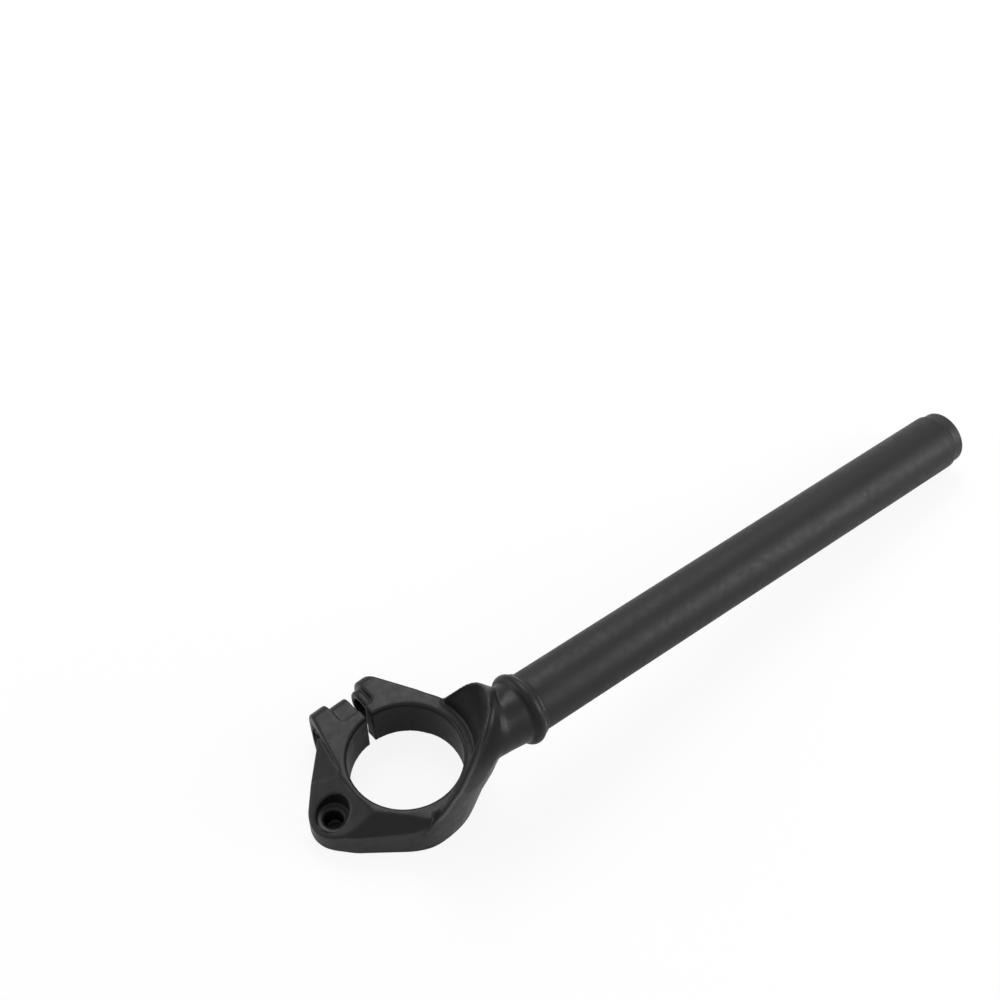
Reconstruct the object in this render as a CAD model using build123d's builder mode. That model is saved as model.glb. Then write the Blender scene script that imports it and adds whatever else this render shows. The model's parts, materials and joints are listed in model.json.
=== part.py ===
from build123d import *
import os
from math import asin, atan2, cos, hypot, radians, sin, tan

os.makedirs("parts", exist_ok=True)

# A clip-on motorbike handlebar: a cast split clamp for the fork tube, with a hooded neck that
# carries a plain round bar. Millimetres. The origin is on the fork axis at the clamp's underside,
# +Z runs up the fork axis, and +X is the way the bar runs in plan.

# Fork ring
fork_d = 41.0
ring_h = 18.4
ring_wall = 6.3
bore_chamfer = 0.8
base_chamfer = 0.4
land_w = 2.3

# Plan outline: each flank is a line given by the angle of its outward normal and its distance
front_flank_a = -128.7
rear_flank_a = 135.0
rear_flank_d = 32.2
ear_end_a = 157.0
ear_end_d = 28.1
ear_back_a = 30.5
land_line_a = 166.9

# Pinch ears with the split between them
bolt_y = 29.5
ear_reach = 8.3
ear_bulge = 5.5
split_x = 0.4
split_w = 2.4
nose_gap = 1.0
relief_in = 2.0
relief_y = 25.2
relief_left = 8.9
relief_right = 5.2
relief_corner = 1.6
pinch_tap_d = 6.8
pinch_clear_d = 8.6
bolt_seat_d = 14.8
bolt_grip = 7.8

# Locating boss and the sloped facets of the skirt
boss_x = -31.3
boss_y = 1.4
boss_round = 10.5
peg_d = 6.5
peg_seat_d = 12.0
peg_sink = 9.8
peg_depth = 6.8
peg_lead = 0.9
boss_slope = 31.0
boss_crest = 22.0
front_slope = 50.0
front_crest = 23.0
front_facet_a = -135.0
rear_slope = 25.8
rear_edge_z = 13.3

# Hood over the fork top
hood_a = -43.0
pocket_r = 24.6
pocket_draft = 7.4
pocket_round = 1.5
skin_draft = -2.0
skin_tilt = 15.5
skin_foot_z = 3.4
arch_in_d = 8.0
arch_in_shift = -3.8
arch_foot = 1.5
arch_half = 30.0
arch_spring = 7.6
arch_rise = 32.9
arch_out_s = 25.5
arch_out_a = -28.0
arch_out_step = 2.0
rim_d = 11.4
rim_lean = 25.0

# Bar line and the neck that carries it
bar_y = -21.4
bar_z = 44.45
bar_d = 22.2
bar_wall = 3.0
neck_d = 22.6
waist_d = 20.8
waist_s = 20.0
neck_root = 6.0
neck_fade = 1.8
bead_d = 26.7
bead_s = 31.8
bead_w = 4.7
bead_dip = 0.7
ridge_d = 24.2
ridge_w = 1.4
spigot_len = 30.0
tube_end_s = 249.9
tube_round = 1.4

# Threaded insert in the bar's outer end
insert_head_d = 20.6
insert_head_len = 4.5
insert_len = 26.0
insert_tap_d = 6.8
insert_tap_depth = 22.0
insert_chamfer = 1.0

# Sizes that follow from those above
fork_r = fork_d / 2
ring_r = fork_r + ring_wall
bolt_z = ring_h / 2
bar_r = bar_d / 2
bar_bore_r = bar_r - bar_wall
neck_r = neck_d / 2
waist_r = waist_d / 2
collar_s = bead_s + bead_w + ridge_w
ear_out = bolt_y + ear_reach
ear_flat = ear_out - ear_bulge
land_r = fork_r + land_w
rest_s = tube_end_s - tube_round
droop = asin(bar_z / hypot(rest_s, bar_r)) - atan2(bar_r, rest_s)
bar_dir = Vector(cos(droop), 0, -sin(droop))
bar_plane = Plane(origin=(0, bar_y, bar_z), x_dir=bar_dir, z_dir=(0, -1, 0))
bar_axis = Axis((0, bar_y, bar_z), bar_dir)
hood_dir = Vector(cos(radians(hood_a)), sin(radians(hood_a)), 0)
hood_side = Vector(-hood_dir.Y, hood_dir.X, 0)


def meet(a1, d1, a2, d2):
    """Point where two plan lines meet, each given by its normal's angle and its distance."""
    c1, s1 = cos(radians(a1)), sin(radians(a1))
    c2, s2 = cos(radians(a2)), sin(radians(a2))
    det = c1 * s2 - c2 * s1
    return ((d1 * s2 - d2 * s1) / det, (c1 * d2 - c2 * d1) / det)


def foot(angle, dist):
    """Foot of the perpendicular from the fork axis to a plan line."""
    return (dist * cos(radians(angle)), dist * sin(radians(angle)))


def facet_plane(angle, crest, slope):
    """Plane that falls away outward from a level line at the ring's top."""
    c, s, t = cos(radians(angle)), sin(radians(angle)), tan(radians(slope))
    return Plane(origin=(crest * c, crest * s, ring_h), x_dir=(-s, c, 0), z_dir=(t * c, t * s, 1))


rear_crest = rear_flank_d - (ring_h - rear_edge_z) / tan(radians(rear_slope))
boss_corner = meet(front_flank_a, ring_r, rear_flank_a, rear_flank_d)
heel_corner = meet(rear_flank_a, rear_flank_d, ear_end_a, ear_end_d)
ear_a_corner = meet(ear_end_a, ear_end_d, 90, ear_out)
ear_b_corner = meet(90, ear_out, ear_back_a, ring_r)
land_corner = meet(land_line_a, land_r, 90, ear_out)
seat_x = split_x + split_w / 2 + bolt_grip
peg_floor = ring_h - peg_sink
reach = ring_r + rear_flank_d

# Hood: an arch that runs from the ring to the neck, bounded outside by a flaring skin
out_dir = Vector(cos(radians(arch_out_a)), sin(radians(arch_out_a)), 0)
out_side = Vector(-out_dir.Y, out_dir.X, 0)
out_point = Vector(0, bar_y, bar_z) + bar_dir * arch_out_s
out_half = waist_r / out_dir.X
out_rise = waist_r + arch_out_step
out_foot = arch_foot - out_point.Z
hood_top = bar_z + bar_r + ring_h
spring_z = ring_h + arch_spring
skin_lean = radians(skin_tilt)
skin_plane = Plane(
    origin=(0, 0, skin_foot_z),
    x_dir=hood_dir * cos(skin_lean) - Vector(0, 0, sin(skin_lean)),
    z_dir=-hood_side,
)
with BuildPart() as hood:
    with BuildSketch(Plane(origin=hood_dir * arch_in_d, x_dir=hood_side, z_dir=hood_dir)):
        with BuildLine():
            l1 = Line((arch_in_shift - arch_half, arch_foot), (arch_in_shift + arch_half, arch_foot))
            l2 = Line(l1 @ 1, (arch_in_shift + arch_half, spring_z))
            e1 = EllipticalCenterArc(
                (arch_in_shift, spring_z), arch_half, arch_rise, start_angle=0, arc_size=180
            )
            Line(e1 @ 1, l1 @ 0)
        make_face()
    with BuildSketch(Plane(origin=out_point, x_dir=out_side, z_dir=out_dir)):
        with BuildLine():
            l3 = Line((-out_half, out_foot), (out_half, out_foot))
            l4 = Line(l3 @ 1, (out_half, 0))
            e2 = EllipticalCenterArc((0, 0), out_half, out_rise, start_angle=0, arc_size=180)
            Line(e2 @ 1, l3 @ 0)
        make_face()
    loft(ruled=True)
    with BuildSketch(skin_plane):
        with BuildLine():
            Polyline(
                (0, -ring_h),
                (ring_r - ring_h * tan(radians(skin_draft)), -ring_h),
                (ring_r + hood_top * tan(radians(skin_draft)), hood_top),
                (0, hood_top),
                close=True,
            )
        make_face()
    revolve(axis=Axis(skin_plane.origin, skin_plane.y_dir), mode=Mode.INTERSECT)
    lean = radians(rim_lean)
    rim_normal = hood_dir * -cos(lean) + Vector(0, 0, sin(lean))
    rim_origin = hood_dir * rim_d + Vector(0, 0, ring_h)
    with BuildSketch(Plane(origin=rim_origin, x_dir=hood_side, z_dir=rim_normal)):
        Rectangle(2 * reach, 4 * reach)
    extrude(amount=2 * reach, mode=Mode.SUBTRACT)

# Neck: a waisted round turned about the bar line, with the collar bead and the bar's spigot
with BuildPart() as neck:
    with BuildSketch(bar_plane):
        with BuildLine():
            p1 = Polyline(
                (waist_s - 3 * neck_root, 0),
                (waist_s - 3 * neck_root, waist_r - 3 * neck_fade),
                (waist_s, waist_r),
            )
            n1 = Spline(
                p1 @ 1,
                (bead_s, neck_r),
                tangents=((1, 0), (1, (neck_r - waist_r) / (bead_s - waist_s))),
            )
            a1 = ThreePointArc(
                n1 @ 1,
                (bead_s + bead_w / 2, bead_d / 2),
                (bead_s + bead_w, bar_r + bead_dip),
            )
            a2 = ThreePointArc(
                a1 @ 1,
                (bead_s + bead_w + ridge_w / 2, ridge_d / 2),
                (collar_s, bar_r),
            )
            Polyline(
                a2 @ 1,
                (collar_s, bar_bore_r),
                (collar_s + spigot_len, bar_bore_r),
                (collar_s + spigot_len, 0),
                p1 @ 0,
            )
        make_face()
    revolve(axis=bar_axis)
    with BuildSketch(Plane(origin=out_point - out_dir * neck_root, x_dir=out_side, z_dir=out_dir)):
        Rectangle(2 * reach, 2 * reach)
    extrude(amount=-reach, mode=Mode.SUBTRACT)

# Clamp casting: ring, ears, boss, hood, neck and collar in one piece
with BuildPart() as clamp:
    with BuildSketch():
        with BuildLine():
            Polyline(
                (0, 0),
                foot(front_flank_a, ring_r),
                boss_corner,
                heel_corner,
                ear_a_corner,
                ear_b_corner,
                foot(ear_back_a, ring_r),
                close=True,
            )
        make_face()
        fillet(vertices().sort_by_distance(boss_corner + (0,))[0], boss_round)
        Circle(ring_r)
    extrude(amount=ring_h)
    chamfer(edges().group_by(Axis.Z)[0], base_chamfer)
    for plane in (
        facet_plane(180, boss_crest, boss_slope),
        facet_plane(front_facet_a, front_crest, front_slope),
        facet_plane(rear_flank_a, rear_crest, rear_slope),
    ):
        with BuildSketch(plane):
            Rectangle(2 * reach, 2 * reach, align=(Align.CENTER, Align.MAX))
        extrude(amount=ring_h, mode=Mode.SUBTRACT)
    with BuildSketch(Plane.XY.offset(base_chamfer)):
        with BuildLine():
            Polyline(
                (0, 0),
                foot(land_line_a, land_r),
                land_corner,
                ear_b_corner,
                foot(ear_back_a, ring_r),
                close=True,
            )
        make_face()
        Circle(land_r)
    extrude(amount=ring_h - base_chamfer)
    with BuildSketch(Plane.YZ):
        with BuildLine():
            b1 = EllipticalCenterArc((ear_flat, bolt_z), ear_bulge, bolt_z, start_angle=-90, arc_size=180)
            Polyline(b1 @ 1, (-reach, ring_h), (-reach, 0), b1 @ 0)
        make_face()
    extrude(amount=reach, both=True, mode=Mode.INTERSECT)
    add(hood.part)
    add(neck.part)
    with BuildSketch(Plane.XZ):
        with BuildLine():
            Polyline(
                (0, ring_h),
                (pocket_r, ring_h),
                (pocket_r + hood_top * tan(radians(pocket_draft)), ring_h + hood_top),
                (0, ring_h + hood_top),
                close=True,
            )
        make_face()
        fillet(vertices().sort_by_distance((pocket_r, ring_h, 0))[0], pocket_round)
    revolve(axis=Axis.Z, mode=Mode.SUBTRACT)
    with BuildSketch():
        Circle(fork_r)
    extrude(amount=ring_h, mode=Mode.SUBTRACT)
    bore_edges = edges().filter_by(GeomType.CIRCLE).filter_by(lambda e: abs(e.radius - fork_r) < 0.01)
    chamfer(bore_edges.group_by(Axis.Z)[-1], bore_chamfer)

    # Split between the ears, and the smaller rounded noses beside it
    relief_x0 = split_x - relief_left
    relief_x1 = split_x + relief_right
    with BuildSketch():
        with BuildLine():
            Polyline(
                (relief_x0, relief_y),
                (relief_x1, relief_y),
                (relief_x1, ear_out + relief_in),
                (relief_x0, ear_out + relief_in),
                close=True,
            )
        make_face()
        fillet(vertices().group_by(Axis.Y)[0], relief_corner)
    extrude(amount=ring_h, mode=Mode.SUBTRACT)
    nose_flat = ear_flat - relief_in / 2
    nose_bulge = ear_out - relief_in - nose_flat
    nose_half = bolt_z - relief_in
    with BuildSketch(Plane.YZ.offset(relief_x0)):
        with BuildLine():
            b2 = EllipticalCenterArc((nose_flat, bolt_z), nose_bulge, nose_half, start_angle=-90, arc_size=180)
            Polyline(
                b2 @ 1,
                (relief_y - ring_wall / 2, bolt_z + nose_half),
                (relief_y - ring_wall / 2, bolt_z - nose_half),
                b2 @ 0,
            )
        make_face()
    extrude(amount=relief_x1 - relief_x0)
    with BuildSketch():
        with Locations((split_x, 0)):
            Rectangle(split_w, 2 * ear_out, align=(Align.CENTER, Align.MIN))
        with Locations((split_x, relief_y)):
            Rectangle(split_w / 2 + nose_gap, ear_out, align=(Align.MIN, Align.MIN))
    extrude(amount=ring_h, mode=Mode.SUBTRACT)

    # Pinch bolt: tapped ear, clearance ear and the seat for the bolt's head
    with BuildSketch(Plane.YZ.offset(split_x)):
        with Locations((bolt_y, bolt_z)):
            Circle(pinch_tap_d / 2)
    extrude(amount=-reach, mode=Mode.SUBTRACT)
    with BuildSketch(Plane.YZ.offset(split_x)):
        with Locations((bolt_y, bolt_z)):
            Circle(pinch_clear_d / 2)
    extrude(amount=reach, mode=Mode.SUBTRACT)
    with BuildSketch(Plane.YZ.offset(seat_x)):
        with Locations((bolt_y, bolt_z)):
            Circle(bolt_seat_d / 2)
    extrude(amount=reach, mode=Mode.SUBTRACT)

    # Locating bolt hole with its sunk seat
    with BuildSketch(Plane.XY.offset(peg_floor)):
        with Locations((boss_x, boss_y)):
            Circle(peg_seat_d / 2)
    extrude(amount=ring_h, mode=Mode.SUBTRACT)
    with BuildSketch(Plane.XY.offset(peg_floor)):
        with Locations((boss_x, boss_y)):
            Circle(peg_d / 2)
    extrude(amount=-peg_depth, mode=Mode.SUBTRACT)
    chamfer(edges().filter_by(GeomType.CIRCLE).sort_by_distance((boss_x, boss_y, peg_floor))[0], peg_lead)
clamp.part.label = "clamp_casting"
export_step(clamp.part, "parts/clamp_casting.step")

# Bar: a round tube pushed over the spigot up to the collar
with BuildPart() as tube:
    with BuildSketch(bar_plane):
        with BuildLine():
            Polyline(
                (collar_s, bar_bore_r),
                (tube_end_s, bar_bore_r),
                (tube_end_s, bar_r),
                (collar_s, bar_r),
                close=True,
            )
        make_face()
        fillet(vertices().group_by(Axis.X)[-1].sort_by(Axis.Y)[-1], tube_round)
    revolve(axis=bar_axis)
tube.part.label = "bar_tube"
export_step(tube.part, "parts/bar_tube.step")

# Insert: a plug with a low head, tapped for a bar-end weight
tip_s = tube_end_s + insert_head_len
with BuildPart() as insert:
    with BuildSketch(bar_plane):
        with BuildLine():
            Polyline(
                (tube_end_s - insert_len, 0),
                (tube_end_s - insert_len, bar_bore_r),
                (tube_end_s, bar_bore_r),
                (tube_end_s, insert_head_d / 2),
                (tip_s - insert_chamfer, insert_head_d / 2),
                (tip_s, insert_head_d / 2 - insert_chamfer),
                (tip_s, insert_tap_d / 2),
                (tip_s - insert_tap_depth, insert_tap_d / 2),
                (tip_s - insert_tap_depth, 0),
                close=True,
            )
        make_face()
    revolve(axis=bar_axis)
insert.part.label = "bar_end_insert"
export_step(insert.part, "parts/bar_end_insert.step")
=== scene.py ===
"""Looks of a clip-on handlebar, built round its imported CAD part.

The casting is a reworked copy of its CAD solid with the soft edges of a sand casting, the bar and
its tip plug are turned, and the screw threads are swept by Geometry Nodes. All sizes are metres.
"""

import json
import logging
import math
from dataclasses import dataclass, field
from enum import Enum

import bmesh
import bpy
import numpy as np
from mathutils import Matrix, Vector

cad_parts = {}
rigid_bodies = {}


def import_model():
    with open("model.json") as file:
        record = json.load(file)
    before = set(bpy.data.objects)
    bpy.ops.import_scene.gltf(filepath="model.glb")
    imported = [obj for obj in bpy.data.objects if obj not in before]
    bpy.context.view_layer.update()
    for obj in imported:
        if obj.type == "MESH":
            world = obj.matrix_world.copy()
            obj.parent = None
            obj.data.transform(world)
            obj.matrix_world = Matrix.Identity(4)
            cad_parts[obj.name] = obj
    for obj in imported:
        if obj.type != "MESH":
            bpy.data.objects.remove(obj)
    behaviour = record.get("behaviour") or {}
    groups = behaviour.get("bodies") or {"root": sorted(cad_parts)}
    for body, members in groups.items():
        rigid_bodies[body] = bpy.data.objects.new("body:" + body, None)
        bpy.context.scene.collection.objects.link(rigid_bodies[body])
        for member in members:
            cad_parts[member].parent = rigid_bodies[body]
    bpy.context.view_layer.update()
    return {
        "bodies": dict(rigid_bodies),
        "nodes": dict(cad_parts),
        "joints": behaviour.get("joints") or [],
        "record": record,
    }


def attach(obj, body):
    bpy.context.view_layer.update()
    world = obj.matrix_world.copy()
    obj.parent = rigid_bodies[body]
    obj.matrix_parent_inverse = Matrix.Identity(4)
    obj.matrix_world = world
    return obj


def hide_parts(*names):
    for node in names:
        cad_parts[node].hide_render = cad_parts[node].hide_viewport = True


log = logging.getLogger("clip_on_bar")
MM = 0.001
ROUND_STEPS = 6
SHARP_TURNED = math.radians(28)
SHARP_THREAD = math.radians(30)
MERGE_TURNED = 1e-7
MERGE_CAD = 2e-6
WEIGHT_LEVELS = 10


class Slot(Enum):
    """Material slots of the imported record."""

    CASTING = "casting_black"
    BAR = "bar_black"
    PLUG = "insert_black"


class Node(Enum):
    """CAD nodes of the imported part."""

    CASTING = "clamp_casting"
    BAR = "bar_tube"
    PLUG = "bar_end_insert"


@dataclass(frozen=True)
class BarLine:
    """The straight line that the neck, the bar and its plug are turned about.

    Distances along it are counted from its start, beside the fork's axis.
    """

    start: tuple[float, float, float] = (0.0, -21.4 * MM, 44.45 * MM)
    droop: float = math.radians(7.73617)
    collar_s: float = 37.9 * MM
    tip_s: float = 249.9 * MM

    def direction(self) -> Vector:
        """Unit vector that points along the bar to its tip."""
        return Vector((math.cos(self.droop), 0.0, -math.sin(self.droop)))

    def point(self, along: float) -> Vector:
        """Point on the line at a distance from its start."""
        return Vector(self.start) + self.direction() * along

    def matrix(self, along: float = 0.0) -> Matrix:
        """Transform that takes local Z onto the line.

        Args:
            along: Distance of the local origin from the line's start.

        Returns:
            A rotation and translation as a 4x4 matrix.
        """
        turn = self.direction().to_track_quat("Z", "Y").to_matrix().to_4x4()
        return Matrix.Translation(self.point(along)) @ turn


@dataclass(frozen=True)
class BlackCoat:
    """Black coating on metal: uneven tone, uneven gloss, fine grain and a few pale specks."""

    name: str
    deep: tuple[float, float, float]
    worn: tuple[float, float, float]
    smooth_gloss: float
    dull_gloss: float
    grain_size: float
    grain_depth: float
    shine: float = 0.18
    patch_size: float = 14 * MM
    streak_size: float = 3.08 * MM
    streak_range: tuple[float, float] = (0.3, 0.7)
    speck_size: float = 1.6 * MM
    speck_range: tuple[float, float] = (0.7, 0.8)
    speck_cover: float = 0.55
    speck_lift: float = 3.2
    wave_size: float = 7 * MM
    wave_depth: float = 0.0
    bump_share: float = 0.6

    def material(self) -> bpy.types.Material:
        """Builds the node material.

        Returns:
            The finished material.
        """
        mat = bpy.data.materials.new(self.name)
        mat.use_nodes = True
        tree = mat.node_tree
        shader = tree.nodes["Principled BSDF"]
        shader.inputs["Metallic"].default_value = 0.0
        shader.inputs["IOR"].default_value = 1.5
        shader.inputs["Specular IOR Level"].default_value = self.shine
        place = tree.nodes.new("ShaderNodeTexCoord")
        patches = self._noise(tree, place, self.patch_size, 4.0)
        streaks = self._noise(tree, place, self.streak_size, 6.0)
        grain = self._noise(tree, place, self.grain_size, 3.0)
        specks = self._noise(tree, place, self.speck_size, 2.0)
        swell = self._noise(tree, place, self.wave_size, 1.0)

        tone = self._mix(tree, patches.outputs["Fac"], self.worn)
        tone.inputs["A"].default_value = (*self.deep, 1.0)
        pale = self._range(tree, specks, self.speck_range, (0.0, self.speck_cover))
        lifted = tuple(min(1.0, self.speck_lift * c) for c in self.worn)
        dusted = self._mix(tree, pale.outputs["Result"], lifted)
        tree.links.new(tone.outputs["Result"], dusted.inputs["A"])
        tree.links.new(dusted.outputs["Result"], shader.inputs["Base Color"])

        gloss = self._range(tree, streaks, self.streak_range, (self.smooth_gloss, self.dull_gloss))
        tree.links.new(gloss.outputs["Result"], shader.inputs["Roughness"])

        wave = self._bump(tree, swell, self.wave_depth)
        bump = self._bump(tree, grain, self.grain_depth)
        tree.links.new(wave.outputs["Normal"], bump.inputs["Normal"])
        tree.links.new(bump.outputs["Normal"], shader.inputs["Normal"])
        return mat

    def _bump(self, tree: bpy.types.NodeTree, noise: bpy.types.Node, depth: float) -> bpy.types.Node:
        """Adds a bump of one depth.

        Args:
            tree: Material's node tree.
            noise: Noise node that gives the height.
            depth: Height of the bump in metres.

        Returns:
            The bump node.
        """
        node = tree.nodes.new("ShaderNodeBump")
        node.inputs["Strength"].default_value = self.bump_share
        node.inputs["Distance"].default_value = depth
        tree.links.new(noise.outputs["Fac"], node.inputs["Height"])
        return node

    @staticmethod
    def _mix(
        tree: bpy.types.NodeTree, share: bpy.types.NodeSocket, colour: tuple[float, ...]
    ) -> bpy.types.Node:
        """Adds a colour mix whose second colour is fixed.

        Args:
            tree: Material's node tree.
            share: Socket that gives the share of the second colour.
            colour: Second colour.

        Returns:
            The mix node.
        """
        node = tree.nodes.new("ShaderNodeMix")
        node.data_type = "RGBA"
        node.inputs["B"].default_value = (*colour, 1.0)
        tree.links.new(share, node.inputs["Factor"])
        return node

    @staticmethod
    def _range(
        tree: bpy.types.NodeTree,
        noise: bpy.types.Node,
        taken: tuple[float, float],
        given: tuple[float, float],
    ) -> bpy.types.Node:
        """Adds a map from a range of a noise to a range of a property.

        Args:
            tree: Material's node tree.
            noise: Noise node that is read.
            taken: Lowest and highest noise that count.
            given: Values at those two.

        Returns:
            The map node.
        """
        node = tree.nodes.new("ShaderNodeMapRange")
        for label, value in zip(("From Min", "From Max", "To Min", "To Max"), taken + given):
            node.inputs[label].default_value = value
        tree.links.new(noise.outputs["Fac"], node.inputs["Value"])
        return node

    @staticmethod
    def _noise(
        tree: bpy.types.NodeTree, place: bpy.types.Node, size: float, detail: float
    ) -> bpy.types.Node:
        """Adds a noise of one feature size.

        Args:
            tree: Material's node tree.
            place: Node that gives the object's coordinates.
            size: Size of a feature in metres.
            detail: Octaves of the noise.

        Returns:
            The noise node.
        """
        node = tree.nodes.new("ShaderNodeTexNoise")
        node.inputs["Scale"].default_value = 1.0 / size
        node.inputs["Detail"].default_value = detail
        tree.links.new(place.outputs["Object"], node.inputs["Vector"])
        return node


CAST_COAT = BlackCoat(
    name="cast_black_coat",
    deep=(0.0055, 0.0055, 0.006),
    worn=(0.011, 0.011, 0.0115),
    smooth_gloss=0.31,
    dull_gloss=0.43,
    grain_size=0.5 * MM,
    grain_depth=0.04 * MM,
    wave_depth=0.25 * MM,
)
BAR_COAT = BlackCoat(
    name="bar_black_coat",
    deep=(0.0075, 0.0075, 0.008),
    worn=(0.012, 0.012, 0.0125),
    smooth_gloss=0.44,
    dull_gloss=0.56,
    grain_size=0.35 * MM,
    grain_depth=0.015 * MM,
    shine=0.21,
)
PLUG_COAT = BlackCoat(
    name="plug_black_coat",
    deep=(0.0085, 0.0085, 0.009),
    worn=(0.014, 0.014, 0.0145),
    smooth_gloss=0.42,
    dull_gloss=0.54,
    grain_size=0.3 * MM,
    grain_depth=0.015 * MM,
    shine=0.26,
)


class Mesher:
    """Small mesh tools that the pieces share."""

    @staticmethod
    def link(mesh: bpy.types.Mesh, name: str) -> bpy.types.Object:
        """Makes an object for a mesh at the origin.

        Args:
            mesh: Mesh to show.
            name: Object's name.

        Returns:
            The linked object.
        """
        obj = bpy.data.objects.new(name, mesh)
        bpy.context.scene.collection.objects.link(obj)
        return obj

    @staticmethod
    def flatten(obj: bpy.types.Object) -> None:
        """Turns an object's evaluated modifiers into its own plain mesh.

        Args:
            obj: Object whose modifiers are used up.
        """
        bpy.context.view_layer.update()
        graph = bpy.context.evaluated_depsgraph_get()
        made = bpy.data.meshes.new_from_object(obj.evaluated_get(graph))
        made.name = obj.name
        obj.modifiers.clear()
        obj.data = made

    @staticmethod
    def lathe(
        name: str, profile: list[tuple[float, float]], steps: int, place: Matrix
    ) -> bpy.types.Object:
        """Turns a closed profile about local Z.

        Args:
            name: Object's name.
            profile: Closed loop of (radius, height) points.
            steps: Number of steps round the turn.
            place: Transform of the local axes into the row frame.

        Returns:
            The turned object, with its place in its vertices.
        """
        bm = bmesh.new()
        rings = []
        for k in range(steps):
            turn = 2 * math.pi * k / steps
            c, s = math.cos(turn), math.sin(turn)
            rings.append([bm.verts.new(place @ Vector((r * c, r * s, z))) for r, z in profile])
        count = len(profile)
        for k in range(steps):
            here, there = rings[k], rings[(k + 1) % steps]
            for j in range(count):
                n = (j + 1) % count
                bm.faces.new((here[j], there[j], there[n], here[n]))
        bmesh.ops.remove_doubles(bm, verts=bm.verts, dist=MERGE_TURNED)
        bmesh.ops.recalc_face_normals(bm, faces=bm.faces)
        mesh = bpy.data.meshes.new(name)
        bm.to_mesh(mesh)
        bm.free()
        obj = Mesher.link(mesh, name)
        Mesher.soften(obj, SHARP_TURNED)
        return obj

    @staticmethod
    def soften(obj: bpy.types.Object, angle: float) -> None:
        """Shades smooth, with edges sharper than an angle kept sharp.

        Args:
            obj: Object to shade.
            angle: Largest angle that is shaded smooth.
        """
        bm = bmesh.new()
        bm.from_mesh(obj.data)
        for face in bm.faces:
            face.smooth = True
        for edge in bm.edges:
            edge.smooth = len(edge.link_faces) == 2 and edge.calc_face_angle() < angle
        bm.to_mesh(obj.data)
        bm.free()

    @staticmethod
    def rounded(
        corner: tuple[float, float], radius: float, start: float, end: float
    ) -> list[tuple[float, float]]:
        """Points of a rounded profile corner.

        Args:
            corner: Centre of the rounding as (radius, height).
            radius: Radius of the rounding.
            start: First angle in degrees, from the radius axis towards the height axis.
            end: Last angle in degrees.

        Returns:
            Points along the rounding.
        """
        points = []
        for k in range(ROUND_STEPS + 1):
            a = math.radians(start + (end - start) * k / ROUND_STEPS)
            points.append((corner[0] + radius * math.cos(a), corner[1] + radius * math.sin(a)))
        return points

    @staticmethod
    def cut(obj: bpy.types.Object, cutter: bpy.types.Object) -> None:
        """Takes one closed mesh out of another and removes the cutter.

        Args:
            obj: Object that is cut.
            cutter: Object that is taken out.
        """
        mod = obj.modifiers.new("cut", "BOOLEAN")
        mod.operation = "DIFFERENCE"
        mod.solver = "EXACT"
        mod.object = cutter
        Mesher.flatten(obj)
        bpy.data.objects.remove(cutter)

    @staticmethod
    def dress(obj: bpy.types.Object, mat: bpy.types.Material, slot: Slot, *nodes: Node) -> None:
        """Gives a piece its finish and ties it to the CAD part.

        Args:
            obj: Piece to dress.
            mat: Its material.
            slot: Not used.
            nodes: CAD nodes that the piece stands for.
        """
        obj.data.materials.clear()
        obj.data.materials.append(mat)
        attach(obj, "root")
        if nodes:
            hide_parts(*[n.value for n in nodes])
        log.info("%s: %d faces", obj.name, len(obj.data.polygons))


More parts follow.
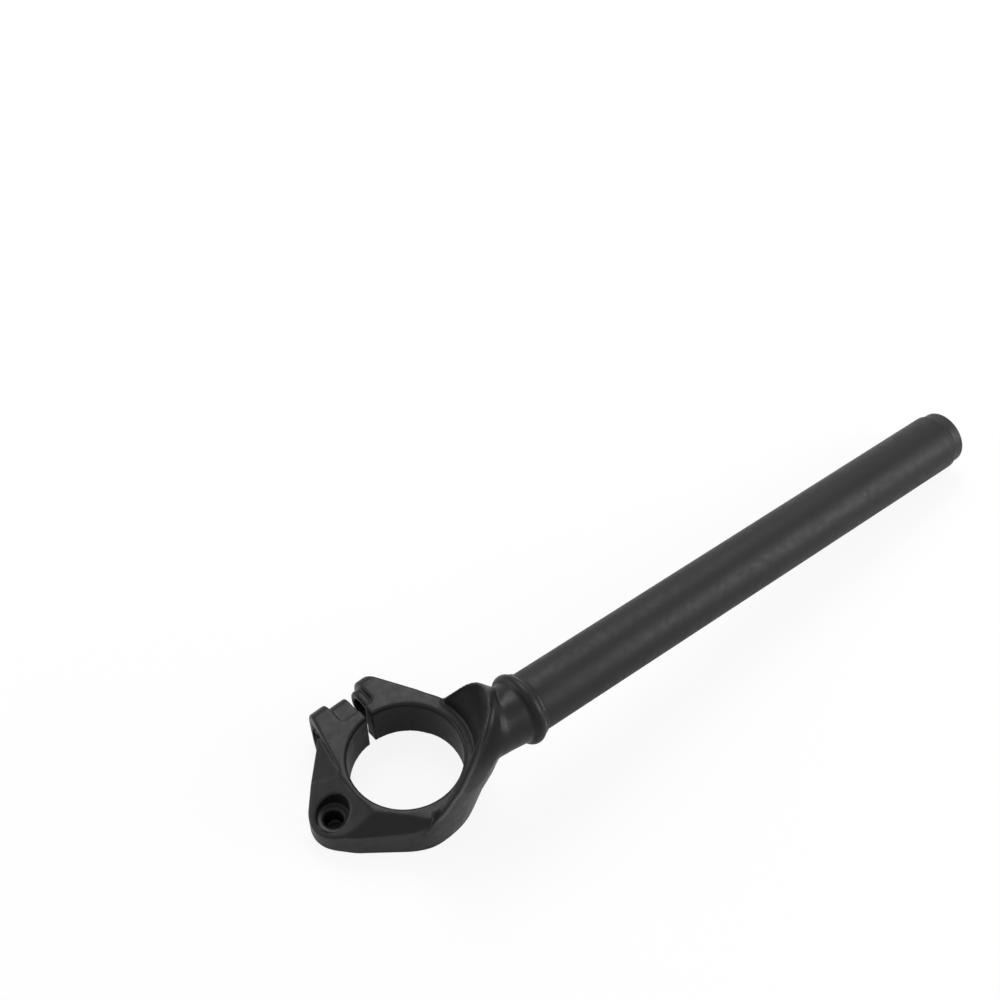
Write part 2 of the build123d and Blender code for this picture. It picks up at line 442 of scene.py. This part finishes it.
@dataclass
class ScrewThread:
    """Inside thread of a tapped hole, swept by Geometry Nodes along a spiral."""

    name: str
    place: Matrix
    length: float
    hole_r: float = 3.4 * MM
    root_r: float = 4.0 * MM
    pitch: float = 1.25 * MM
    steps_per_turn: int = 48

    def tree(self, mat: bpy.types.Material) -> bpy.types.GeometryNodeTree:
        """Builds the node tree that sweeps the thread's ridge.

        Args:
            mat: Material of the ridge.

        Returns:
            The tree, with its sizes as named inputs.
        """
        tree = bpy.data.node_groups.new(self.name + "_sweep", "GeometryNodeTree")
        face = tree.interface
        face.new_socket("Geometry", in_out="INPUT", socket_type="NodeSocketGeometry")
        for label in ("Turns", "Root radius", "Length", "Ridge"):
            face.new_socket(label, in_out="INPUT", socket_type="NodeSocketFloat")
        face.new_socket("Geometry", in_out="OUTPUT", socket_type="NodeSocketGeometry")
        given = tree.nodes.new("NodeGroupInput")
        spiral = tree.nodes.new("GeometryNodeCurveSpiral")
        spiral.inputs["Resolution"].default_value = self.steps_per_turn
        for label in ("Start Radius", "End Radius"):
            tree.links.new(given.outputs["Root radius"], spiral.inputs[label])
        tree.links.new(given.outputs["Turns"], spiral.inputs["Rotations"])
        tree.links.new(given.outputs["Length"], spiral.inputs["Height"])
        upright = tree.nodes.new("GeometryNodeSetCurveNormal")
        upright.mode = "Z_UP"
        tree.links.new(spiral.outputs["Curve"], upright.inputs["Curve"])
        ridge = tree.nodes.new("GeometryNodeCurvePrimitiveCircle")
        ridge.inputs["Resolution"].default_value = 4
        tree.links.new(given.outputs["Ridge"], ridge.inputs["Radius"])
        sweep = tree.nodes.new("GeometryNodeCurveToMesh")
        sweep.inputs["Fill Caps"].default_value = True
        tree.links.new(upright.outputs["Curve"], sweep.inputs["Curve"])
        tree.links.new(ridge.outputs["Curve"], sweep.inputs["Profile Curve"])
        real = tree.nodes.new("GeometryNodeRealizeInstances")
        tree.links.new(sweep.outputs["Mesh"], real.inputs["Geometry"])
        paint = tree.nodes.new("GeometryNodeSetMaterial")
        paint.inputs["Material"].default_value = mat
        tree.links.new(real.outputs["Geometry"], paint.inputs["Geometry"])
        out = tree.nodes.new("NodeGroupOutput")
        tree.links.new(paint.outputs["Geometry"], out.inputs["Geometry"])
        return tree

    def build(self, mat: bpy.types.Material) -> bpy.types.Object:
        """Sweeps the thread and sets it in its hole.

        Args:
            mat: Material of the ridge.

        Returns:
            The thread as a plain mesh.
        """
        obj = Mesher.link(bpy.data.meshes.new(self.name), self.name)
        mod = obj.modifiers.new("sweep", "NODES")
        mod.node_group = self.tree(mat)
        sizes = {
            "Turns": self.length / self.pitch,
            "Root radius": self.root_r,
            "Length": self.length,
            "Ridge": self.root_r - self.hole_r,
        }
        for item in mod.node_group.interface.items_tree:
            if item.in_out == "INPUT" and item.name in sizes:
                mod[item.identifier] = sizes[item.name]
        Mesher.flatten(obj)
        obj.data.transform(self.place)
        Mesher.soften(obj, SHARP_THREAD)
        return obj


@dataclass
class CastClamp:
    """Split fork clamp with its hood and neck: a copy of the CAD casting with cast edges.

    A zone is a pair of distances, at which something starts and is whole. Distances are along the
    bar's line, up from the ring's underside or behind the plane of the hood's rim.
    """

    line: BarLine = field(default_factory=BarLine)
    stub: float = 2.0 * MM
    cell: float = 0.32 * MM
    most_faces: int = 190000

    edge_steps: int = 20
    bead_zone: tuple[float, float] = (30.5 * MM, 31.5 * MM)
    bead_share: float = 0.3
    foot_zone: tuple[float, float] = (0.8 * MM, 3.0 * MM)
    foot_share: float = 0.6

    blend_steps: int = 50
    blend_start: tuple[float, float] = (23.5 * MM, 25.5 * MM)
    blend_end: tuple[float, float] = (28.5 * MM, 31.0 * MM)

    rim_point: tuple[float, float, float] = (8.34 * MM, -7.77 * MM, 18.4 * MM)
    rim_normal: tuple[float, float, float] = (-0.66283, 0.61810, 0.42262)
    hood_hub: tuple[float, float, float] = (14.6 * MM, -13.6 * MM, 30.0 * MM)
    lip_steps: int = 26
    lip_out: float = 1.4 * MM
    lip_edge: tuple[float, float] = (1.4 * MM, 2.8 * MM)
    lip_foot: tuple[float, float] = (19.0 * MM, 25.0 * MM)
    lip_neck: tuple[float, float] = (21.0 * MM, 27.0 * MM)

    skin_steps: int = 75
    skin_edge: tuple[float, float] = (3.0 * MM, 5.0 * MM)
    skin_foot: tuple[float, float] = (3.0 * MM, 6.0 * MM)
    skin_end: float = 25.0 * MM
    hollow_foot: tuple[float, float] = (20.5 * MM, 23.0 * MM)
    ring_h: float = 18.4 * MM
    pocket_r: float = 24.6 * MM
    pocket_draft: float = math.tan(math.radians(7.4))
    pocket_wall: float = 1.2 * MM

    crease_s: float = 4.2 * MM
    crease_w: float = 1.4 * MM
    crease_in: float = 1.0 * MM
    crease_foot: tuple[float, float] = (43.0 * MM, 50.0 * MM)
    crease_end: float = 27.0 * MM

    flank_a: float = math.radians(-128.7)
    flank_out: float = 1.35 * MM
    flank_start: float = -27.0 * MM
    flank_end: float = 8.0 * MM
    flank_ramp: float = 11.0 * MM
    flank_front: float = 10.0 * MM
    wall_r: float = 21.5 * MM
    wall_w: float = 4.0 * MM
    corner_a: float = math.radians(-60.0)
    corner_spread: float = math.radians(18.0)
    corner_in: float = 0.9 * MM
    corner_top: tuple[float, float] = (14.0 * MM, 26.0 * MM)

    bolt_y: float = 29.5 * MM
    bolt_z: float = 9.2 * MM
    split_edge_x: float = -0.8 * MM
    ear_end_x: float = -20.6 * MM
    ear_end_a: float = math.radians(157.0)
    ear_end_d: float = 28.1 * MM
    thread_margin: float = 0.6 * MM
    thread_inset: float = 0.7 * MM
    drill_lead: float = 1.0 * MM
    drill_len: float = 30.0 * MM
    drill_sides: int = 48

    def across_ear(self, x: float) -> Matrix:
        """Transform that takes local Z along the pinch bolt, into the tapped ear, from a given x."""
        turn = Matrix.Rotation(math.radians(-90), 4, "Y")
        return Matrix.Translation((x, self.bolt_y, self.bolt_z)) @ turn

    def thread(self) -> ScrewThread:
        """Thread of the pinch bolt, a margin short of the ear at each end."""
        first, last = self.split_edge_x - self.thread_margin, self.ear_end_x + self.thread_margin
        return ScrewThread("pinch_bolt_thread", self.across_ear(first), first - last)

    def copy_solid(self, source: bpy.types.Object) -> bpy.types.Object:
        """Copies the CAD casting, closes its seams and cuts off the hidden spigot.

        Args:
            source: CAD node of the casting.

        Returns:
            The working copy.
        """
        bm = bmesh.new()
        bm.from_mesh(source.data)
        bmesh.ops.remove_doubles(bm, verts=bm.verts, dist=MERGE_CAD)
        cut = bmesh.ops.bisect_plane(
            bm,
            geom=bm.verts[:] + bm.edges[:] + bm.faces[:],
            plane_co=self.line.point(self.line.collar_s + self.stub),
            plane_no=self.line.direction(),
            clear_outer=True,
        )
        ends = [e for e in cut["geom_cut"] if isinstance(e, bmesh.types.BMEdge)]
        bmesh.ops.contextual_create(bm, geom=ends)
        bmesh.ops.recalc_face_normals(bm, faces=bm.faces)
        mesh = bpy.data.meshes.new("clamp")
        bm.to_mesh(mesh)
        bm.free()
        return Mesher.link(mesh, "clamp")

    def open_thread(self, obj: bpy.types.Object, root_r: float) -> None:
        """Opens the tapped ear's hole to the thread's root.

        Args:
            obj: Working copy of the casting.
            root_r: Radius of the thread's root.
        """
        mouth = self.across_ear(self.split_edge_x + self.drill_lead)
        bm = bmesh.new()
        bmesh.ops.create_cone(
            bm,
            cap_ends=True,
            segments=self.drill_sides,
            radius1=root_r,
            radius2=root_r,
            depth=self.drill_len,
            matrix=mouth @ Matrix.Translation((0, 0, self.drill_len / 2)),
        )
        mesh = bpy.data.meshes.new("thread_opening")
        bm.to_mesh(mesh)
        bm.free()
        Mesher.cut(obj, Mesher.link(mesh, "thread_opening"))

    def cast(self, obj: bpy.types.Object) -> None:
        """Rounds every edge as a casting's are, fattens the lip and melts the neck into the hood.

        Args:
            obj: Working copy of the casting.
        """
        shell = obj.modifiers.new("shell", "REMESH")
        shell.mode = "VOXEL"
        shell.voxel_size = self.cell
        shell.use_smooth_shade = True
        Mesher.flatten(obj)
        flat = np.empty(len(obj.data.vertices) * 3, np.float32)
        obj.data.vertices.foreach_get("co", flat)
        spots = self.square_flank(flat.reshape(-1, 3))
        shares = self.shares(spots)
        moved = self.emboss(spots, shares["lip"], shares["crease"])
        obj.data.vertices.foreach_set("co", moved.astype(np.float32).ravel())
        self.ease(obj, "edges", shares["edges"], self.edge_steps)
        self.ease(obj, "lip", shares["lip"], self.lip_steps)
        self.ease(obj, "skin", shares["skin"], self.skin_steps)
        self.ease(obj, "blend", shares["blend"], self.blend_steps)
        thin = obj.modifiers.new("thin", "DECIMATE")
        thin.ratio = min(1.0, self.most_faces / (2 * len(obj.data.polygons)))
        Mesher.flatten(obj)
        obj.vertex_groups.clear()
        for face in obj.data.polygons:
            face.use_smooth = True

    def shares(self, spots: np.ndarray) -> dict[str, np.ndarray]:
        """Says how far each vertex belongs to each region of the casting.

        Args:
            spots: Vertex places, one row each.

        Returns:
            A share from 0 to 1 for each vertex, under the region's name.
        """
        along = (spots - np.array(self.line.start)) @ np.array(self.line.direction())
        high = spots[:, 2]
        wide = np.hypot(spots[:, 0], spots[:, 1])
        behind = (np.array(self.rim_point) - spots) @ np.array(self.rim_normal)
        pocket = self.pocket_r + self.pocket_draft * (high - self.ring_h) + self.pocket_wall
        outside = (wide > pocket) * 1.0

        blend = self.fade(along, self.blend_start) * (1.0 - self.fade(along, self.blend_end))
        edges = 1.0 - (1.0 - self.bead_share) * self.fade(along, self.bead_zone)
        edges *= self.foot_share + (1.0 - self.foot_share) * self.fade(high, self.foot_zone)
        lip = (1.0 - self.fade(np.abs(behind), self.lip_edge)) * self.fade(high, self.lip_foot)
        lip *= 1.0 - self.fade(along, self.lip_neck)
        skin = self.fade(high, self.skin_foot) * (along < self.skin_end) * outside
        skin += self.fade(high, self.hollow_foot) * (1.0 - outside)
        skin *= self.fade(behind, self.skin_edge)
        crease = np.exp(-(((behind - self.crease_s) / self.crease_w) ** 2)) * outside
        crease *= self.fade(high, self.crease_foot) * (along < self.crease_end)
        return {"blend": blend, "edges": edges, "lip": lip, "skin": skin, "crease": crease}

    def emboss(self, spots: np.ndarray, lip: np.ndarray, crease: np.ndarray) -> np.ndarray:
        """Draws the hood's lip out and presses the crease behind it in.

        Args:
            spots: Vertex places, one row each.
            lip: Share of the lip at each vertex.
            crease: Share of the crease at each vertex.

        Returns:
            The moved places.
        """
        away = spots - np.array(self.line.start)
        ahead = np.array(self.line.direction())
        inward = np.outer(away @ ahead, ahead) - away
        inward /= np.maximum(np.linalg.norm(inward, axis=1, keepdims=True), MM)
        spread = spots - np.array(self.hood_hub)
        spread /= np.linalg.norm(spread, axis=1, keepdims=True)
        pressed = inward * (crease * self.crease_in)[:, None]
        return spots + pressed + spread * (lip * self.lip_out)[:, None]

    def square_flank(self, spots: np.ndarray) -> np.ndarray:
        """Draws the front flank out and its far corner in, so that the two meet in a tighter turn.

        Args:
            spots: Vertex places, one row each.

        Returns:
            The moved places.
        """
        facing = np.array((math.cos(self.flank_a), math.sin(self.flank_a), 0.0))
        aside = spots @ np.array((-facing[1], facing[0], 0.0))
        ahead = spots @ facing
        wide = np.hypot(spots[:, 0], spots[:, 1])
        depth = np.where(aside < 0.0, ahead, wide)
        wall = self.rise((depth - self.wall_r) / self.wall_w) * self.rise(ahead / self.flank_front)
        run = self.rise((aside - self.flank_start) / self.flank_ramp)
        run *= 1.0 - self.rise((aside - self.flank_end) / self.flank_ramp)
        push = np.outer(wall * run * self.flank_out, facing)
        turn = (np.arctan2(spots[:, 1], spots[:, 0]) - self.corner_a) / self.corner_spread
        pull = np.exp(-(turn**2)) * self.rise((wide - self.wall_r) / self.wall_w)
        pull *= 1.0 - self.fade(spots[:, 2], self.corner_top)
        radial = spots * np.array((1.0, 1.0, 0.0)) / np.maximum(wide, MM)[:, None]
        return spots + push - radial * (pull * self.corner_in)[:, None]

    @staticmethod
    def fade(value: np.ndarray, zone: tuple[float, float]) -> np.ndarray:
        """Straight rise from 0 to 1 as a value crosses a zone."""
        return np.interp(value, np.array(zone), np.array((0.0, 1.0)))

    @staticmethod
    def rise(share: np.ndarray) -> np.ndarray:
        """Smooth step from 0 to 1 as the share goes from 0 to 1."""
        held = np.clip(share, 0.0, 1.0)
        return held * held * (3.0 - 2.0 * held)

    @staticmethod
    def ease(obj: bpy.types.Object, name: str, weight: np.ndarray, steps: int) -> None:
        """Adds a smoothing whose strength varies over the surface.

        Args:
            obj: Object to smooth.
            name: Name of the smoothing and its vertex group.
            weight: Strength at each vertex, from 0 to 1.
            steps: Number of passes.
        """
        group = obj.vertex_groups.new(name=name)
        for level in range(1, WEIGHT_LEVELS + 1):
            near = np.nonzero(np.ceil(weight * WEIGHT_LEVELS) == level)[0]
            if len(near):
                group.add(near.tolist(), level / WEIGHT_LEVELS, "REPLACE")
        mod = obj.modifiers.new(name, "SMOOTH")
        mod.factor = 0.5
        mod.iterations = steps
        mod.vertex_group = group.name

    def build(self, frame: dict) -> None:
        """Builds and dresses the casting and its thread.
        """
        mat = CAST_COAT.material()
        screw = self.thread()
        obj = self.copy_solid(frame["nodes"][Node.CASTING.value])
        self.open_thread(obj, screw.root_r)
        self.cast(obj)
        Mesher.dress(obj, mat, Slot.CASTING, Node.CASTING)
        thread = screw.build(mat)
        self.trim(thread)
        Mesher.dress(thread, mat, Slot.CASTING)

    def trim(self, thread: bpy.types.Object) -> None:
        """Cuts the thread off just inside the ear's slanted end.

        Args:
            thread: Swept thread.
        """
        facing = Vector((math.cos(self.ear_end_a), math.sin(self.ear_end_a), 0.0))
        bm = bmesh.new()
        bm.from_mesh(thread.data)
        cut = bmesh.ops.bisect_plane(
            bm,
            geom=bm.verts[:] + bm.edges[:] + bm.faces[:],
            plane_co=facing * (self.ear_end_d - self.thread_inset),
            plane_no=facing,
            clear_outer=True,
        )
        ends = [e for e in cut["geom_cut"] if isinstance(e, bmesh.types.BMEdge)]
        bmesh.ops.holes_fill(bm, edges=ends)
        bm.to_mesh(thread.data)
        bm.free()


@dataclass
class RoundBar:
    """Hollow bar from the collar to the tip."""

    line: BarLine = field(default_factory=BarLine)
    outer_r: float = 11.1 * MM
    bore_r: float = 8.1 * MM
    end_round: float = 1.4 * MM
    start_round: float = 0.3 * MM
    steps: int = 160

    def build(self) -> None:
        """Turns the bar and dresses it."""
        long = self.line.tip_s - self.line.collar_s
        tip = (self.outer_r - self.end_round, long - self.end_round)
        foot = (self.outer_r - self.start_round, self.start_round)
        profile = [(self.bore_r, 0.0), (self.bore_r, long)]
        profile += Mesher.rounded(tip, self.end_round, 90, 0)
        profile += Mesher.rounded(foot, self.start_round, 0, -90)
        obj = Mesher.lathe("bar", profile, self.steps, self.line.matrix(self.line.collar_s))
        Mesher.dress(obj, BAR_COAT.material(), Slot.BAR, Node.BAR)


@dataclass
class TipPlug:
    """Tapped plug in the bar's end, with its low head."""

    line: BarLine = field(default_factory=BarLine)
    head_r: float = 10.3 * MM
    head_len: float = 4.5 * MM
    body_r: float = 8.1 * MM
    body_len: float = 26.0 * MM
    edge: float = 1.0 * MM
    lead: float = 0.6 * MM
    tap_depth: float = 22.0 * MM
    thread_foot: float = 0.8 * MM
    thread_head: float = 1.2 * MM
    steps: int = 128

    def build(self) -> None:
        """Turns the plug, sweeps its thread and dresses both."""
        top = self.head_len
        floor = top - self.tap_depth
        place = self.line.matrix(self.line.tip_s + floor + self.thread_foot)
        screw = ScrewThread("tip_thread", place, self.tap_depth - self.thread_foot - self.thread_head)
        profile = [(0.0, -self.body_len), (self.body_r, -self.body_len), (self.body_r, 0.0)]
        profile += [(self.head_r, 0.0)]
        profile += Mesher.rounded((self.head_r - self.edge, top - self.edge), self.edge, 0, 90)
        profile += [(screw.root_r + self.lead, top), (screw.root_r, top - self.lead)]
        profile += [(screw.root_r, floor), (0.0, floor)]
        mat = PLUG_COAT.material()
        obj = Mesher.lathe("tip_plug", profile, self.steps, self.line.matrix(self.line.tip_s))
        Mesher.dress(obj, mat, Slot.PLUG, Node.PLUG)
        Mesher.dress(screw.build(mat), mat, Slot.PLUG)


@dataclass(frozen=True)
class SoftLamp:
    """Square soft lamp, placed by its offset from the point that it faces."""

    name: str
    offset: tuple[float, float, float]
    size: float
    power: float

    def build(self, aim: Vector) -> None:
        """Sets the lamp up.

        Args:
            aim: Point that it faces.
        """
        data = bpy.data.lights.new(self.name, "AREA")
        data.shape = "SQUARE"
        data.size = self.size
        data.energy = self.power
        obj = bpy.data.objects.new(self.name, data)
        obj.location = aim + Vector(self.offset)
        obj.rotation_mode = "QUATERNION"
        obj.rotation_quaternion = (-Vector(self.offset)).to_track_quat("-Z", "Y")
        bpy.context.scene.collection.objects.link(obj)


@dataclass
class Studio:
    """Pale floor, soft light, white surround and the camera."""

    eye: tuple[float, float, float] = (-0.19776, -0.30048, 0.64662)
    right: tuple[float, float, float] = (0.76512, -0.64372, -0.01451)
    down: tuple[float, float, float] = (-0.52299, -0.60816, -0.59718)
    ahead: tuple[float, float, float] = (0.37560, 0.46450, -0.80198)
    lens: float = 74.2
    sensor: float = 36.0
    clip: tuple[float, float] = (0.01, 50.0)
    around: float = 0.5
    floor_size: float = 6.0
    floor_tone: float = 0.8
    floor_gloss: float = 0.9
    floor_seen: float = 0.88
    floor_mirrored: float = 0.22
    aim: tuple[float, float, float] = (0.05, -0.01, 0.02)
    lamps: tuple[SoftLamp, ...] = (
        SoftLamp("key", (0.45, 0.55, 0.95), 0.6, 7.5),
        SoftLamp("side", (0.85, -0.80, 0.50), 0.7, 11.0),
        SoftLamp("fill", (-0.80, 0.80, 0.40), 0.8, 4.5),
    )

    @staticmethod
    def combine(
        tree: bpy.types.NodeTree, operation: str, *terms: bpy.types.NodeSocket | float
    ) -> bpy.types.NodeSocket:
        """Adds a math node.

        Args:
            tree: Node tree to add it to.
            operation: Name of the operation.
            terms: Its inputs in order, each a socket or a number.

        Returns:
            The node's result.
        """
        node = tree.nodes.new("ShaderNodeMath")
        node.operation = operation
        for place, term in zip(node.inputs, terms):
            if isinstance(term, bpy.types.NodeSocket):
                tree.links.new(term, place)
            else:
                place.default_value = term
        return node.outputs["Value"]

    @staticmethod
    def pick(
        tree: bpy.types.NodeTree,
        share: bpy.types.NodeSocket,
        first: bpy.types.Node,
        second: bpy.types.Node,
    ) -> bpy.types.NodeSocket:
        """Adds a mix of two shaders.

        Args:
            tree: Node tree to add it to.
            share: Socket that gives the share of the second shader.
            first: Node of the first shader.
            second: Node of the second shader.

        Returns:
            The mixed shader.
        """
        node = tree.nodes.new("ShaderNodeMixShader")
        tree.links.new(share, node.inputs["Fac"])
        tree.links.new(first.outputs[0], node.inputs[1])
        tree.links.new(second.outputs[0], node.inputs[2])
        return node.outputs["Shader"]

    @staticmethod
    def glow(tree: bpy.types.NodeTree, kind: str, strength: float) -> bpy.types.Node:
        """Adds a plain white light of one strength.

        Args:
            tree: Node tree to add it to.
            kind: Type of the shader node.
            strength: Strength of the light.

        Returns:
            The shader node.
        """
        node = tree.nodes.new(kind)
        node.inputs["Color"].default_value = (1.0, 1.0, 1.0, 1.0)
        node.inputs["Strength"].default_value = strength
        return node

    def surround(self) -> None:
        """White to the camera and in reflections, and a plain soft light to all else."""
        world = bpy.data.worlds.new("white_surround")
        bpy.context.scene.world = world
        world.use_nodes = True
        tree = world.node_tree
        tree.nodes.clear()
        path = tree.nodes.new("ShaderNodeLightPath").outputs
        seen = self.combine(tree, "MAXIMUM", path["Is Camera Ray"], path["Is Glossy Ray"])
        clear = self.combine(tree, "MAXIMUM", seen, path["Is Transmission Ray"])
        soft = self.glow(tree, "ShaderNodeBackground", self.around)
        white = self.glow(tree, "ShaderNodeBackground", 1.0)
        out = tree.nodes.new("ShaderNodeOutputWorld")
        tree.links.new(self.pick(tree, clear, soft, white), out.inputs["Surface"])

    def floor(self) -> None:
        """Large pale floor that is near white to the camera and keeps a soft shadow."""
        bm = bmesh.new()
        bmesh.ops.create_grid(bm, x_segments=1, y_segments=1, size=self.floor_size)
        mesh = bpy.data.meshes.new("floor")
        bm.to_mesh(mesh)
        bm.free()
        obj = Mesher.link(mesh, "floor")
        mat = bpy.data.materials.new("pale_floor")
        mat.use_nodes = True
        tree = mat.node_tree
        paint = tree.nodes["Principled BSDF"]
        paint.inputs["Base Color"].default_value = (self.floor_tone,) * 3 + (1.0,)
        paint.inputs["Roughness"].default_value = self.floor_gloss
        path = tree.nodes.new("ShaderNodeLightPath").outputs
        direct = self.combine(tree, "MAXIMUM", path["Is Camera Ray"], path["Is Transmission Ray"])
        seen = self.combine(tree, "MULTIPLY", direct, self.floor_seen)
        share = self.combine(tree, "MULTIPLY_ADD", path["Is Glossy Ray"], self.floor_mirrored, seen)
        white = self.glow(tree, "ShaderNodeEmission", 1.0)
        out = tree.nodes["Material Output"]
        tree.links.new(self.pick(tree, share, paint, white), out.inputs["Surface"])
        obj.data.materials.append(mat)

    def camera(self) -> None:
        """Sets the camera where the photograph was taken from."""
        data = bpy.data.cameras.new("camera")
        data.lens = self.lens
        data.sensor_width = self.sensor
        data.clip_start, data.clip_end = self.clip
        obj = bpy.data.objects.new("camera", data)
        x, y, z = Vector(self.right), -Vector(self.down), -Vector(self.ahead)
        turn = Matrix((x, y, z)).transposed().to_4x4()
        obj.matrix_world = Matrix.Translation(self.eye) @ turn
        bpy.context.scene.collection.objects.link(obj)
        bpy.context.scene.camera = obj

    def build(self) -> None:
        """Sets the whole stage."""
        self.surround()
        self.floor()
        for lamp in self.lamps:
            lamp.build(Vector(self.aim))
        self.camera()


def main() -> None:
    """Builds the part's looks and its stage."""
    logging.basicConfig(level=logging.INFO, format="%(name)s %(message)s")
    scene = bpy.context.scene
    for obj in list(scene.objects):
        bpy.data.objects.remove(obj)
    scene.view_settings.view_transform = "Standard"
    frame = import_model()
    CastClamp().build(frame)
    RoundBar().build()
    TipPlug().build()
    Studio().build()


if __name__ == "__main__":
    main()
